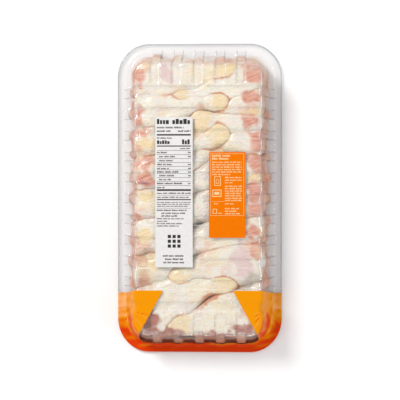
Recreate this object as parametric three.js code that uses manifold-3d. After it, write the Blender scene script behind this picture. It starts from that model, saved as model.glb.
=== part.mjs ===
// A shut tray pack of raw chicken drumsticks. The clear ribbed tray lies on its film, base up, and
// drumsticks from both sides are pressed together inside it. A shrunk film with a printed end goes
// over the tray's base, and two printed panels lie on that film.
// Millimetres. X is across the pack, Y along it and Z up. The origin is the middle of the film's
// underside, which is what the pack rests on.
import * as THREE from "three";
import { mergeVertices } from "three/addons/utils/BufferGeometryUtils.js";
import Module from "manifold-3d";

const wasm = await Module();
wasm.setup();

// Tray: the outlines are rounded rectangles, and each is an offset of the base's outline
const BASE_HALF_WIDTH = 75;
const BASE_HALF_LENGTH = 160;
const BASE_CORNER = 14;
const FLANGE_OFFSET = 24; // from the base's outline to the flange's edge
const WALL_STRETCH = 1.3; // the end walls slope this much more than the side walls
const END_STRETCH = 1.12; // the whole of an end, flange and wall, to the whole of a side
const CORNER_STEPS = 7;
const TRAY_TOP = 60; // height of the tray's base, which faces up
const FLANGE_UNDER = 2.2;
const FLANGE_TOP = 3.2;
const LIP_FOOT = 0.9;
const LIP_WIDTH = 1.2;
const WALL = 0.8;
const WALL_SPREAD = 10.5; // how far the wall leans out between base and flange
const EDGE_ROUND = 5; // radius of the edge between wall and base

// Ribs: one every inch, as outward flutes on the walls and shallow channels over the base
const RIB_PITCH = 25.4;
const RIB_HALF_WIDTH = 5.4;
const SIDE_RIBS_EACH_WAY = 5;
const END_RIBS_EACH_WAY = 2;
const FLUTE_DEPTH = 5;
const FLUTE_RISE = 46; // height over the flange at which a flute runs out
const FLUTE_HEAD = 1.5; // how far outside the base's outline it runs out
const CHANNEL_DEPTH = 1.8;
const END_CHANNEL_LENGTH = 25;

// Film: a flat sheet under the flange, and a skin drawn over the tray
const FILM = 0.4;
const CLEARANCE = 0.4;
const FILM_EDGE_OFFSET = FLANGE_OFFSET + CLEARANCE + FILM;
const FILM_FILLET = 5; // how far the film stands off the corner between flange and wall

// Printed end of the film, with its clear window
const PRINT_START = -107.5;
const PRINT_LEAN = 0.14; // the print's edge lies this much further down the pack for each mm of depth
const WINDOW_NECK_HALF = 41;
const WINDOW_SLOPE = 0.55;
const WINDOW_FOOT = 6; // its lower edge, as a height on the end wall
const WINDOW_END = -182; // where its sides would end in plan, past the wall
const WINDOW_CORNER = 24;
const WINDOW_CORNER_SPREAD = 4; // how far its rounded corners stand out sideways

// Printed panels on the base
const PANEL = 0.3;
const PANELS = {
  white_panel: { x: -28, y: 7.8, width: 43.8, length: 175.8 },
  orange_panel: { x: 34.3, y: 4.8, width: 42.6, length: 100.4 },
};

// Drumstick: radii along the bone, from the hock knuckle to the thick end
const KNUCKLE_RADIUS = 12;
const SHANK_RADIUS = 10.5;
const CALF_RADIUS = 28;
const END_RADIUS = 22;
const BONE_BOW = 3;
const PRESS_GAP = 1.8; // between pressed drumsticks
const AROUND = 13;
const RINGS = 12;
const CAP_RINGS = 3;
const BONE_STEPS = 24;
const FLOOR_OF_MEAT = FILM + 0.5;
const TOP_OF_MEAT = TRAY_TOP - CHANNEL_DEPTH - WALL - CLEARANCE;

// Each drumstick by its knuckle and its thick end. Those of the left row have the thick end at the
// left wall, those of the right row at the right wall. The knuckle is high, at the base, or low.
const HIGH = 45;
const LOW = 14;
const LEFT_ROW = [
  { knuckle: [33, 149, HIGH], end: [-57, 137, 30], size: 1.02 },
  { knuckle: [26, 119, HIGH], end: [-60, 101, 31], size: 0.96 },
  { knuckle: [25, 76, HIGH], end: [-60, 66, 29], size: 0.96 },
  { knuckle: [34, 57, 38], end: [-59, 29, 31], size: 0.98 },
  { knuckle: [28, 16, LOW], end: [-60, -8, 30], size: 1 },
  { knuckle: [28, -23, LOW], end: [-60, -46, 31], size: 1.02 },
  { knuckle: [24, -66, LOW], end: [-60, -83, 28], size: 1 },
  { knuckle: [31, -97, HIGH], end: [-50, -130, 30], size: 1.08 },
];
const RIGHT_ROW = [
  { knuckle: [-22, 122, HIGH], end: [56, 140, 29], size: 0.98 },
  { knuckle: [-26, 98, LOW], end: [60, 115, 34], size: 0.9 },
  { knuckle: [3, 90, HIGH], end: [61, 91, 26], size: 0.86 },
  { knuckle: [-24, 56, LOW], end: [60, 67, 32], size: 0.92 },
  { knuckle: [-24, 20, HIGH], end: [60, 36, 28], size: 1 },
  { knuckle: [-25, -18, HIGH], end: [60, 0, 31], size: 1 },
  { knuckle: [-26, -54, HIGH], end: [60, -35, 29], size: 0.98 },
  { knuckle: [-21, -92, HIGH], end: [59, -71, 32], size: 1.04 },
  { knuckle: [-27, -133, LOW], end: [60, -109, 22], size: 0.88 },
  { knuckle: [-21, -147, HIGH], end: [54, -135, 31], size: 1.04 },
];

// How far out an end lies where the sides lie out by the given offset
function endOffset(offset) {
  const wall = Math.min(offset, WALL_SPREAD);
  const flange = FLANGE_OFFSET * END_STRETCH - WALL_SPREAD * WALL_STRETCH;
  return wall * WALL_STRETCH + ((offset - wall) * flange) / (FLANGE_OFFSET - WALL_SPREAD);
}

// One corner-rounded outline, counter-clockwise from the right side's lower end, at a given height
function ring(offset, z) {
  const round = BASE_CORNER + offset;
  const stretched = BASE_CORNER + endOffset(offset);
  const width = BASE_HALF_WIDTH - BASE_CORNER;
  const length = BASE_HALF_LENGTH - BASE_CORNER;
  const points = [];
  for (let corner = 0; corner < 4; corner++) {
    const sideX = corner === 0 || corner === 3 ? 1 : -1;
    const sideY = corner < 2 ? 1 : -1;
    for (let step = 0; step <= CORNER_STEPS; step++) {
      const angle = (Math.PI / 2) * (corner + step / CORNER_STEPS);
      const x = sideX * width + round * Math.cos(angle);
      const y = sideY * length + stretched * Math.sin(angle);
      points.push(new THREE.Vector3(x, y, z));
    }
  }
  return points;
}

// A closed body through rings of points, all with the same number, closed by a point at each end.
// Seen from its last ring, each ring runs counter-clockwise.
function closedBody(rings, firstTip, lastTip) {
  const count = rings[0].length;
  const positions = [];
  for (const p of [...rings.flat(), firstTip, lastTip]) positions.push(p.x, p.y, p.z);
  const first = rings.length * count;
  const lastRing = first - count;
  const index = [];
  for (let i = 0; i < count; i++) {
    const next = (i + 1) % count;
    index.push(first, next, i);
    index.push(first + 1, lastRing + i, lastRing + next);
    for (let start = 0; start < lastRing; start += count) {
      const a = start + i;
      const b = start + next;
      index.push(a, b, b + count);
      index.push(a, b + count, a + count);
    }
  }
  const geometry = new THREE.BufferGeometry();
  geometry.setAttribute("position", new THREE.Float32BufferAttribute(positions, 3));
  geometry.setIndex(index);
  return geometry;
}

// A body with flat ends through outlines given from low to high
function loft(rings) {
  const low = new THREE.Vector3(0, 0, rings[0][0].z);
  const high = new THREE.Vector3(0, 0, rings[rings.length - 1][0].z);
  return closedBody(rings, low, high);
}

// A geometry as a solid that can be cut and joined
function solid(geometry) {
  const plain = geometry.clone();
  plain.deleteAttribute("normal");
  plain.deleteAttribute("uv");
  const merged = mergeVertices(plain, 1e-4);
  return new wasm.Manifold(
    new wasm.Mesh({
      numProp: 3,
      vertProperties: new Float32Array(merged.attributes.position.array),
      triVerts: new Uint32Array(merged.index.array),
    }),
  );
}

// A solid as a geometry
function geometryOf(made) {
  const mesh = made.getMesh();
  const geometry = new THREE.BufferGeometry();
  geometry.setAttribute("position", new THREE.BufferAttribute(mesh.vertProperties, 3));
  geometry.setIndex(new THREE.BufferAttribute(mesh.triVerts, 1));
  return geometry;
}

// A box between two corners, as a solid
function block(low, high) {
  const size = high.map((v, i) => v - low[i]);
  const box = new THREE.BoxGeometry(...size);
  box.translate(...high.map((v, i) => (v + low[i]) / 2));
  return solid(box);
}

function sum(solids) {
  return solids.reduce((all, one) => all.add(one));
}

function ribPlaces(eachWay) {
  const places = [];
  for (let k = -eachWay; k <= eachWay; k++) places.push(k * RIB_PITCH);
  return places;
}

// One wall flute: a wedge that stands out of the wall at the flange and dies out on the way up.
// It is drawn in the plane of X and Z, given its width along Y, and turned to face its own wall.
function flute(reach, stretch, across, turn, inset) {
  const shape = new THREE.Shape();
  const foot = -5;
  const wallAtFoot = reach + WALL_SPREAD * stretch + FLUTE_DEPTH - inset;
  shape.moveTo(reach - 10, foot);
  shape.lineTo(wallAtFoot, foot);
  shape.lineTo(wallAtFoot, FLANGE_TOP);
  shape.lineTo(reach + FLUTE_HEAD * stretch - inset, FLANGE_TOP + FLUTE_RISE);
  shape.lineTo(reach - 10, FLANGE_TOP + FLUTE_RISE);
  const half = RIB_HALF_WIDTH - inset;
  const wedge = new THREE.ExtrudeGeometry(shape, { depth: 2 * half, bevelEnabled: false });
  wedge.translate(0, 0, -half);
  wedge.rotateX(Math.PI / 2);
  wedge.translate(0, across, 0);
  wedge.rotateZ(turn);
  return solid(wedge);
}

function flutes(inset) {
  const made = [];
  for (const place of ribPlaces(SIDE_RIBS_EACH_WAY)) {
    made.push(flute(BASE_HALF_WIDTH, 1, place, 0, inset));
    made.push(flute(BASE_HALF_WIDTH, 1, place, Math.PI, inset));
  }
  for (const place of ribPlaces(END_RIBS_EACH_WAY)) {
    made.push(flute(BASE_HALF_LENGTH, WALL_STRETCH, place, Math.PI / 2, inset));
    made.push(flute(BASE_HALF_LENGTH, WALL_STRETCH, place, -Math.PI / 2, inset));
  }
  return sum(made);
}

// The shallow channels that the ribs leave in the base: crosswise, and lengthwise at each end
function channels(inset) {
  const half = RIB_HALF_WIDTH + inset;
  const low = TRAY_TOP - CHANNEL_DEPTH - inset;
  const high = TRAY_TOP + 5;
  const across = BASE_HALF_WIDTH + 20;
  const made = ribPlaces(SIDE_RIBS_EACH_WAY).map((y) =>
    block([-across, y - half, low], [across, y + half, high]),
  );
  const start = BASE_HALF_LENGTH - END_CHANNEL_LENGTH - inset;
  for (const x of ribPlaces(END_RIBS_EACH_WAY)) {
    for (const side of [-1, 1]) {
      const ends = [side * start, side * (BASE_HALF_LENGTH + 20)].sort((a, b) => a - b);
      made.push(block([x - half, ends[0], low], [x + half, ends[1], high]));
    }
  }
  return sum(made);
}

// The tray's body without its flange: its outside with no inset, its inside with the wall's
function trayBody(inset) {
  const top = TRAY_TOP - inset;
  const foot = inset ? -5 : FLANGE_UNDER;
  const lean = WALL_SPREAD / (TRAY_TOP - FLANGE_TOP);
  const body = solid(
    loft([
      ring((TRAY_TOP - foot) * lean - inset, foot),
      ring(EDGE_ROUND * lean - inset, top - EDGE_ROUND),
      ring(-EDGE_ROUND * 0.25 - inset, top - EDGE_ROUND * 0.25),
      ring(-EDGE_ROUND - inset, top),
    ]),
  );
  return body.add(flutes(inset)).subtract(channels(inset));
}

function tray() {
  const edge = ring(FLANGE_OFFSET, FLANGE_UNDER);
  const plate = loft([edge, ring(FLANGE_OFFSET, FLANGE_TOP)]);
  const lip = loft([ring(FLANGE_OFFSET, LIP_FOOT), ring(FLANGE_OFFSET, FLANGE_TOP)]);
  const inLip = loft([
    ring(FLANGE_OFFSET - LIP_WIDTH, LIP_FOOT - 1),
    ring(FLANGE_OFFSET - LIP_WIDTH, FLANGE_UNDER),
  ]);
  const floor = block([-200, -300, -50], [200, 300, FLANGE_UNDER]);
  const outside = trayBody(0).subtract(floor).add(solid(plate));
  const rim = solid(lip).subtract(solid(inLip));
  return outside.add(rim).subtract(trayBody(WALL));
}

function lidFilm() {
  return solid(loft([ring(FILM_EDGE_OFFSET, 0), ring(FILM_EDGE_OFFSET, FILM)]));
}

// The drawn film: over the flange's edge, up the wall and its ribs, and straight over the channels
function filmBody(inset) {
  const foot = inset ? -5 : FILM + CLEARANCE;
  const lift = FILM + CLEARANCE - inset;
  const lean = WALL_SPREAD / (TRAY_TOP - FLANGE_TOP);
  const skin = solid(
    loft([
      ring(FILM_EDGE_OFFSET - inset, foot),
      ring(FILM_EDGE_OFFSET - inset, FLANGE_TOP + lift),
      ring(WALL_SPREAD + FILM_FILLET + lift, FLANGE_TOP + lift + FILM_FILLET * 0.15),
      ring(WALL_SPREAD + lift, FLANGE_TOP + lift + FILM_FILLET),
      ring(EDGE_ROUND * lean + lift, TRAY_TOP - EDGE_ROUND + lift),
      ring(-EDGE_ROUND * 0.25 + lift, TRAY_TOP - EDGE_ROUND * 0.25 + lift),
      ring(-EDGE_ROUND + lift, TRAY_TOP + lift),
    ]),
  );
  return skin.add(flutes(-lift));
}

// A body whose upright faces lean the way the print's edge does
function leaned(geometry) {
  geometry.translate(0, 0, -TRAY_TOP);
  geometry.applyMatrix4(new THREE.Matrix4().makeShear(0, 0, 0, 0, 0, PRINT_LEAN));
  geometry.translate(0, 0, TRAY_TOP);
  return solid(geometry);
}

// The space of the printed part of the film: everything past the print's edge but the window
function printedRegion(grow) {
  const far = 220;
  const under = -10;
  const neck = WINDOW_NECK_HALF - grow;
  const reach = -WINDOW_END - grow;
  const start = -PRINT_START - grow;
  const shape = new THREE.Shape();
  const cornerX = neck + (reach - WINDOW_CORNER - start) * WINDOW_SLOPE;
  shape.moveTo(-far, -start);
  shape.lineTo(-far, -far);
  shape.lineTo(far, -far);
  shape.lineTo(far, -start);
  shape.lineTo(neck, -start);
  shape.lineTo(cornerX, -(reach - WINDOW_CORNER));
  shape.quadraticCurveTo(cornerX + WINDOW_CORNER_SPREAD, -reach, cornerX - WINDOW_CORNER, -reach);
  shape.lineTo(WINDOW_CORNER - cornerX, -reach);
  shape.quadraticCurveTo(-cornerX - WINDOW_CORNER_SPREAD, -reach, -cornerX, WINDOW_CORNER - reach);
  shape.lineTo(-neck, -start);
  const prism = new THREE.ExtrudeGeometry(shape, { depth: 80, bevelEnabled: false, curveSegments: 5 });
  prism.translate(0, 0, under);
  const foot = WINDOW_FOOT + grow;
  const band = new THREE.BoxGeometry(2 * far, far - start, foot - under);
  band.translate(0, -(far + start) / 2, (foot + under) / 2);
  return leaned(prism).add(leaned(band));
}

function panel({ x, y, width, length }) {
  const foot = TRAY_TOP + 2 * CLEARANCE + FILM;
  const box = new THREE.BoxGeometry(width, length, PANEL);
  return { geometry: box, position: [x, y, foot + PANEL / 2] };
}

function smooth(low, high, value) {
  const t = Math.min(1, Math.max(0, (value - low) / (high - low)));
  return t * t * (3 - 2 * t);
}

// Radius of an unpressed drumstick along its bone, from 0 at the knuckle to 1 at the thick end
function radiusAt(along, size) {
  const calf = (CALF_RADIUS * size - SHANK_RADIUS) * smooth(0.08, 0.86, along);
  const knuckle = (KNUCKLE_RADIUS - SHANK_RADIUS) * (1 - smooth(0.06, 0.18, along));
  const taper = (CALF_RADIUS - END_RADIUS) * size * smooth(0.84, 1, along);
  return SHANK_RADIUS + calf + knuckle - taper;
}

// A drumstick's bone line with the radius at each step
function boneOf({ knuckle, end, size }, bowSide) {
  const from = new THREE.Vector3(...knuckle);
  const to = new THREE.Vector3(...end);
  const side = new THREE.Vector3().subVectors(to, from).cross(new THREE.Vector3(0, 0, 1)).normalize();
  const bend = new THREE.Vector3().addVectors(from, to).multiplyScalar(0.5);
  bend.addScaledVector(side, 2 * BONE_BOW * bowSide);
  const curve = new THREE.QuadraticBezierCurve3(from, bend, to);
  const steps = [];
  for (let i = 0; i <= BONE_STEPS; i++) {
    const along = i / BONE_STEPS;
    steps.push({ point: curve.getPoint(along), radius: radiusAt(along, size) });
  }
  return { curve, steps, size };
}

// How far a point is outside a drumstick's unpressed skin
function outsideOf(bone, p) {
  let least = Infinity;
  for (const step of bone.steps) least = Math.min(least, p.distanceTo(step.point) - step.radius);
  return least;
}

// How far a point is outside the space that the tray and the film leave
function outsideTray(p) {
  const lean = (WALL_SPREAD * (TRAY_TOP - p.z)) / (TRAY_TOP - FLANGE_TOP);
  const spare = WALL + CLEARANCE;
  const round = BASE_CORNER + lean - spare;
  const x = Math.max(0, Math.abs(p.x) - (BASE_HALF_WIDTH - BASE_CORNER));
  const y = Math.max(0, Math.abs(p.y) - (BASE_HALF_LENGTH - BASE_CORNER));
  const edge = EDGE_ROUND * 0.8 * smooth(TRAY_TOP - 2 * EDGE_ROUND, TRAY_TOP, p.z);
  return Math.max(Math.hypot(x, y) - round + edge, p.z - TOP_OF_MEAT, FLOOR_OF_MEAT - p.z);
}

// A pressed drumstick: rays leave the bone and stop at its own skin, at the tray, or half-way to a
// neighbour. The ends are fans of rays about the bone's two end points.
function drumstick(bone, others) {
  const near = others.filter((o) => o !== bone);
  function inside(p) {
    const own = outsideOf(bone, p);
    if (own > 0 || outsideTray(p) > 0) return false;
    return near.every((other) => own < outsideOf(other, p) - PRESS_GAP);
  }
  function skinPoint(origin, direction, most) {
    let low = 0;
    let high = most;
    for (let i = 0; i < 14; i++) {
      const mid = (low + high) / 2;
      if (inside(origin.clone().addScaledVector(direction, mid))) low = mid;
      else high = mid;
    }
    return origin.clone().addScaledVector(direction, low);
  }
  const up = new THREE.Vector3(0, 0, 1);
  const centre = bone.curve.getPoint(0.5);
  function row(along, tilt) {
    const origin = bone.curve.getPoint(along);
    const tangent = bone.curve.getTangent(along);
    const side = new THREE.Vector3().crossVectors(up, tangent).normalize();
    const rise = new THREE.Vector3().crossVectors(tangent, side);
    const points = [];
    for (let j = 0; j < AROUND; j++) {
      const angle = (2 * Math.PI * j) / AROUND;
      const out = side.clone().multiplyScalar(Math.cos(angle)).addScaledVector(rise, Math.sin(angle));
      const ray = out.multiplyScalar(Math.cos(tilt)).addScaledVector(tangent, Math.sin(tilt));
      points.push(skinPoint(origin, ray, CALF_RADIUS * 1.2).sub(centre));
    }
    return points;
  }
  function tip(along, sign) {
    const ray = bone.curve.getTangent(along).multiplyScalar(sign);
    return skinPoint(bone.curve.getPoint(along), ray, CALF_RADIUS * 1.2).sub(centre);
  }
  const rows = [];
  const quarter = Math.PI / 2;
  for (let i = 1; i <= CAP_RINGS; i++) rows.push(row(0, -quarter * (1 - i / (CAP_RINGS + 1))));
  for (let i = 0; i < RINGS; i++) rows.push(row(i / (RINGS - 1), 0));
  for (let i = 1; i <= CAP_RINGS; i++) rows.push(row(1, (quarter * i) / (CAP_RINGS + 1)));
  return { geometry: closedBody(rows, tip(0, -1), tip(1, 1)), position: centre.toArray() };
}

const clearPlastic = new THREE.MeshStandardMaterial({
  color: 0xe9ebec,
  roughness: 0.08,
  metalness: 0,
  transparent: true,
  opacity: 0.25,
});
const clearFilm = new THREE.MeshStandardMaterial({
  color: 0xf2f4f5,
  roughness: 0.05,
  metalness: 0,
  transparent: true,
  opacity: 0.15,
});
const orangeFilm = new THREE.MeshStandardMaterial({
  color: 0xff8a10,
  roughness: 0.2,
  metalness: 0,
  transparent: true,
  opacity: 0.9,
});
const whitePrint = new THREE.MeshStandardMaterial({ color: 0xf4f3f2, roughness: 0.4, metalness: 0 });
const orangePrint = new THREE.MeshStandardMaterial({ color: 0xfe7f01, roughness: 0.4, metalness: 0 });
const chicken = new THREE.MeshStandardMaterial({ color: 0xeddcc6, roughness: 0.35, metalness: 0 });

const pack = new THREE.Group();

function place(name, geometry, material, position = [0, 0, 0]) {
  const mesh = new THREE.Mesh(geometry, material);
  mesh.name = name;
  mesh.position.set(...position);
  pack.add(mesh);
}

const bareFilm = filmBody(0).subtract(filmBody(FILM));
place("tray", geometryOf(tray()), clearPlastic);
place("lid_film", geometryOf(lidFilm()), clearFilm);
place("clear_film", geometryOf(bareFilm.subtract(printedRegion(0.15))), clearFilm);
place("printed_film", geometryOf(bareFilm.intersect(printedRegion(-0.15))), orangeFilm);
for (const [name, sizes] of Object.entries(PANELS)) {
  const made = panel(sizes);
  place(name, made.geometry, name === "white_panel" ? whitePrint : orangePrint, made.position);
}

const leftBones = LEFT_ROW.map((stick, i) => boneOf(stick, i % 2 ? 1 : -1));
const rightBones = RIGHT_ROW.map((stick, i) => boneOf(stick, i % 2 ? -1 : 1));
const bones = [...leftBones, ...rightBones];
const rowsOfBones = { left: leftBones, right: rightBones };
for (const [side, row] of Object.entries(rowsOfBones)) {
  row.forEach((bone, i) => {
    const made = drumstick(bone, bones);
    place(`drumstick_${side}_${i + 1}`, made.geometry, chicken, made.position);
  });
}

export default pack;
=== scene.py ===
"""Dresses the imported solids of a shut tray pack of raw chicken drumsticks.

The clear ribbed tray lies on its film, base up. A shrunk film with a printed end goes over it, two
printed panels lie on that film, and the drumsticks show through. Lengths are in metres.
"""

import math

import bmesh
import bpy
import numpy as np
from bpy.props import FloatProperty, FloatVectorProperty, IntProperty, PointerProperty
from mathutils import Matrix, Vector


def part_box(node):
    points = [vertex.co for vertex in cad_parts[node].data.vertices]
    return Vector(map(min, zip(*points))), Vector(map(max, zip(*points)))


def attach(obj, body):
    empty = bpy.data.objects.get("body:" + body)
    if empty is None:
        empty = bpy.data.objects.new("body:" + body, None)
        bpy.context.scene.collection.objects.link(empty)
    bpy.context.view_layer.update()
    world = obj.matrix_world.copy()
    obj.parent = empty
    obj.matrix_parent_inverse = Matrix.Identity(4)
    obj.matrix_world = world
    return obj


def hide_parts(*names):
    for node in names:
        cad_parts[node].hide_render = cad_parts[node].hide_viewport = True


bl_info = {
    "name": "Drumstick Tray Pack",
    "version": (1, 0, 0),
    "blender": (4, 5, 0),
    "location": "View3D > Sidebar > Tray Pack",
    "description": "Builds the visual model of a shut tray pack of chicken drumsticks",
    "category": "Object",
}

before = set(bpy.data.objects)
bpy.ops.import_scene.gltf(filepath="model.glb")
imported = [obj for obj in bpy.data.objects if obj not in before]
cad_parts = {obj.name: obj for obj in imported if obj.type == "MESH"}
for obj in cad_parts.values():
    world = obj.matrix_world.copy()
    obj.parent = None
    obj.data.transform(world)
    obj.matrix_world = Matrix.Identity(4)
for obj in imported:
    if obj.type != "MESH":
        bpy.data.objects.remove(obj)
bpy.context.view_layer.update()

MM = 0.001
TRAY_LOW, TRAY_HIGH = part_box("tray")
FILM_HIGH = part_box("clear_film")[1]
LID_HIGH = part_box("lid_film")[1]
FLANGE_HALF_WIDTH = (TRAY_HIGH.x - TRAY_LOW.x) / 2
FLANGE_HALF_LENGTH = (TRAY_HIGH.y - TRAY_LOW.y) / 2

SIDE_RIBS = range(-5, 6)
END_RIBS = range(-2, 3)

# Steps of a panel's rounded corner, and its radius
CORNER_STEPS = 6
CORNER_RADIUS = 0.8 * MM

# Each drumstick by its knuckle and its thick end, in mm, and its share of the usual girth. Those of
# the left row have the thick end at the left wall, those of the right row at the right wall.
HIGH = 45
LOW = 14
LEFT_ROW = [
    ((33, 149, HIGH), (-57, 137, 30), 1.02),
    ((26, 119, HIGH), (-60, 101, 31), 0.96),
    ((25, 76, HIGH), (-60, 66, 29), 0.96),
    ((34, 57, 38), (-59, 29, 31), 0.98),
    ((28, 16, LOW), (-60, -8, 30), 1),
    ((28, -23, LOW), (-60, -46, 31), 1.02),
    ((24, -66, LOW), (-60, -83, 28), 1),
    ((31, -97, HIGH), (-50, -130, 30), 1.08),
]
RIGHT_ROW = [
    ((-22, 122, HIGH), (56, 140, 29), 0.98),
    ((-26, 98, LOW), (60, 115, 34), 0.9),
    ((3, 90, HIGH), (61, 91, 26), 0.86),
    ((-24, 56, LOW), (60, 67, 32), 0.92),
    ((-24, 20, HIGH), (60, 36, 28), 1),
    ((-25, -18, HIGH), (60, 0, 31), 1),
    ((-26, -54, HIGH), (60, -35, 29), 0.98),
    ((-21, -92, HIGH), (59, -71, 32), 1.04),
    ((-27, -133, LOW), (60, -109, 22), 0.88),
    ((-21, -147, HIGH), (54, -135, 31), 1.04),
]

# What shows under the tray's base where the skin stops: the middle and the half sizes in mm of each
# patch of a kind
PATCHES = {
    "flesh": (
        (-68, 147, 10, 9), (-67, 130, 4, 5), (66, 150, 15, 16), (62, 118, 12, 10),
        (63, 90, 12, 8), (-71, 94, 8, 14), (-71, 77, 13, 6), (-67, 45, 16, 13),
        (-62, 22, 12, 12), (71, 68, 12, 13), (69, 43, 14, 12), (70, 6, 14, 17),
        (68, -11, 13, 10), (64, -38, 9, 8), (70, -58, 10, 14), (-73, -23, 7, 6),
        (-76, -51, 8, 8), (-72, -73, 12, 10), (-63, -91, 9, 12),
    ),
    "mauve": (
        (-37, 149, 8, 15), (53, -72, 14, 20), (-60, 20, 8, 5),
    ),
    "dark": (
        (-56, -152, 15, 17), (20, -161, 26, 5), (52, -154, 17, 9), (-24, -160, 10, 5),
    ),
    "blood": (
        (-50, -162, 9, 3), (-34, -156, 5, 5), (-56, -133, 4, 4), (-66, 19, 9, 2),
    ),
    "fat": (
        (-65, 160, 12, 8), (-62, 64, 14, 8), (-64, 5, 14, 8), (-64, -44, 12, 12),
        (-54, -76, 5, 9), (66, 103, 13, 5), (68, 24, 13, 7), (79, -46, 10, 17),
    ),
    "gristle": (
        (-78, -92, 7, 9), (79, -75, 7, 7), (78, -23, 8, 6),
    ),
}


def length_of(name, description, millimetres):
    """A length among the settings, with its default in mm"""
    return FloatProperty(
        name=name, description=description, default=millimetres * MM, unit="LENGTH"
    )


def colour_of(name, description, light):
    """A colour among the settings"""
    return FloatVectorProperty(
        name=name, description=description, default=light, subtype="COLOR"
    )


class PackSizes(bpy.types.PropertyGroup):
    """Sizes of the tray, its films and the meat"""

    corner: length_of("Base corner", "Corner radius of the base", 14)
    flange_offset: length_of("Flange offset", "From the base's outline to the flange's edge", 24)
    wall_stretch: FloatProperty(
        name="Wall stretch", description="How much more the end walls slope than the side walls",
        default=1.3,
    )
    end_stretch: FloatProperty(
        name="End stretch", description="The whole of an end to the whole of a side", default=1.12
    )
    flange_top: length_of("Flange top", "Height of the flange", 3.2)
    wall: length_of("Wall", "Thickness of the tray", 0.8)
    wall_spread: length_of("Wall spread", "How far the wall leans out", 10.5)
    edge_round: length_of("Edge round", "Radius between wall and base", 5)
    rib_pitch: length_of("Rib pitch", "From rib to rib", 25.4)
    rib_half: length_of("Rib half width", "Half a rib's width", 5.4)
    flute_depth: length_of("Flute depth", "How far a rib stands out at its foot", 5)
    rib_inset: length_of("Rib inset", "How far a rib lies in at the base's edge", 2.3)
    channel_depth: length_of("Channel depth", "Depth of the channels in the base", 1.8)
    end_channel: length_of("End channel", "Length of the channels at each end", 25)
    film: length_of("Film", "Thickness of the shrunk film", 0.25)
    film_lift: length_of("Film lift", "From the tray to the film over it", 0.7)
    press_gap: length_of(
        "Press gap", "Between pressed drumsticks; below zero they fold together", -2.4
    )
    plumpness: length_of("Plumpness", "How far skin and fat fill the room between bones", 5)
    crease: length_of("Crease", "How rounded the skin is beside a crease", 1.0)
    rings: IntProperty(name="Rings", description="Rings along a drumstick", default=84)
    around: IntProperty(name="Around", description="Points round a drumstick", default=72)


class PackColours(bpy.types.PropertyGroup):
    """Colours of the pack, as linear light"""

    skin: colour_of("Skin", "Pale skin", (0.74, 0.71, 0.62))
    skin_shade: colour_of("Skin shade", "Thin skin over muscle", (0.68, 0.60, 0.57))
    flesh: colour_of("Flesh", "Bare muscle", (0.50, 0.125, 0.062))
    flesh_pale: colour_of("Pale flesh", "Muscle under a thin white sheath", (0.66, 0.31, 0.20))
    fat: colour_of("Fat", "Yellow fat and the knuckle's skin", (0.74, 0.57, 0.31))
    yellow: colour_of("Yellow skin", "Skin with fat under it", (0.76, 0.63, 0.40))
    mauve: colour_of("Mauve", "Meat seen through a bluish sheath", (0.64, 0.47, 0.45))
    dark: colour_of("Dark meat", "Brown meat at the cut end", (0.36, 0.095, 0.05))
    # The crease colour is partly juice and partly painted shade, laid into creases between drumsticks
    # and along the walls
    crease: colour_of("Crease", "Juice in the creases and along the walls", (0.52, 0.19, 0.06))
    blood: colour_of("Blood", "Small veins and spots", (0.30, 0.05, 0.04))
    gristle: colour_of("Gristle", "Cartilage at a cut joint", (0.72, 0.68, 0.64))
    # The film's tone mixes these three; its deeper tone on the right flange and in folds is painted
    # shade, and its paler ridges and glint are painted highlights
    orange_film: colour_of("Orange film", "Printed film over the base", (0.72, 0.25, 0.0003))
    orange_pale: colour_of("Pale orange", "Printed film over the pale flange", (0.78, 0.37, 0.13))
    orange_deep: colour_of(
        "Deep orange", "Printed film where it is folded double", (0.62, 0.040, 0.0004)
    )
    orange_panel: colour_of("Orange panel", "Ground of the orange panel", (0.70, 0.148, 0.0002))
    white_panel: colour_of("White panel", "Ground of the white panel", (0.64, 0.625, 0.61))
    ink: colour_of("Ink", "Dark print", (0.035, 0.033, 0.033))
    pale_ink: colour_of("Pale ink", "Print on the orange panel", (0.72, 0.50, 0.24))


def smoothstep(low, high, value):
    """Runs from 0 to 1 as the value goes from low to high, soft at both ends"""
    t = np.clip((value - low) / (high - low), 0, 1)
    return t * t * (3 - 2 * t)


class Waves:
    """Smooth noise in space from about -1 to 1: a sum of waves with seeded directions"""

    def __init__(self, seed, wavelength, count=12):
        rng = np.random.default_rng(seed)
        direction = rng.normal(size=(count, 3))
        direction /= np.linalg.norm(direction, axis=1)[:, None]
        length = wavelength * rng.uniform(0.6, 1.7, count)
        self.waves = 2 * math.pi * direction / length[:, None]
        self.phase = rng.uniform(0, 2 * math.pi, count)
        self.scale = 1.2 / math.sqrt(count)

    def __call__(self, points):
        return self.scale * np.sin(points @ self.waves.T + self.phase).sum(axis=-1)


def placed(name, mesh, material, nodes):
    """Makes a mesh a piece that rides on the pack and stands for the named solids"""
    if not mesh.polygons:
        raise RuntimeError(f"{name} came out without faces")
    mesh.materials.append(material)
    piece = bpy.data.objects.new(name, mesh)
    bpy.context.scene.collection.objects.link(piece)
    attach(piece, "root")
    if nodes:
        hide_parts(*nodes)
    return piece


def new_piece(name, points, faces, material, nodes, smooth=True):
    """A piece from points and faces"""
    mesh = bpy.data.meshes.new(name)
    mesh.from_pydata(np.asarray(points).tolist(), [], [list(map(int, f)) for f in faces])
    mesh.validate()
    mesh.update()
    if smooth:
        mesh.shade_smooth()
    else:
        mesh.shade_flat()
    return placed(name, mesh, material, nodes)


def thicken(piece, thickness):
    """Gives a sheet its thickness, outwards"""
    solid = piece.modifiers.new("Thickness", "SOLIDIFY")
    solid.thickness = thickness
    solid.offset = 1


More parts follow.
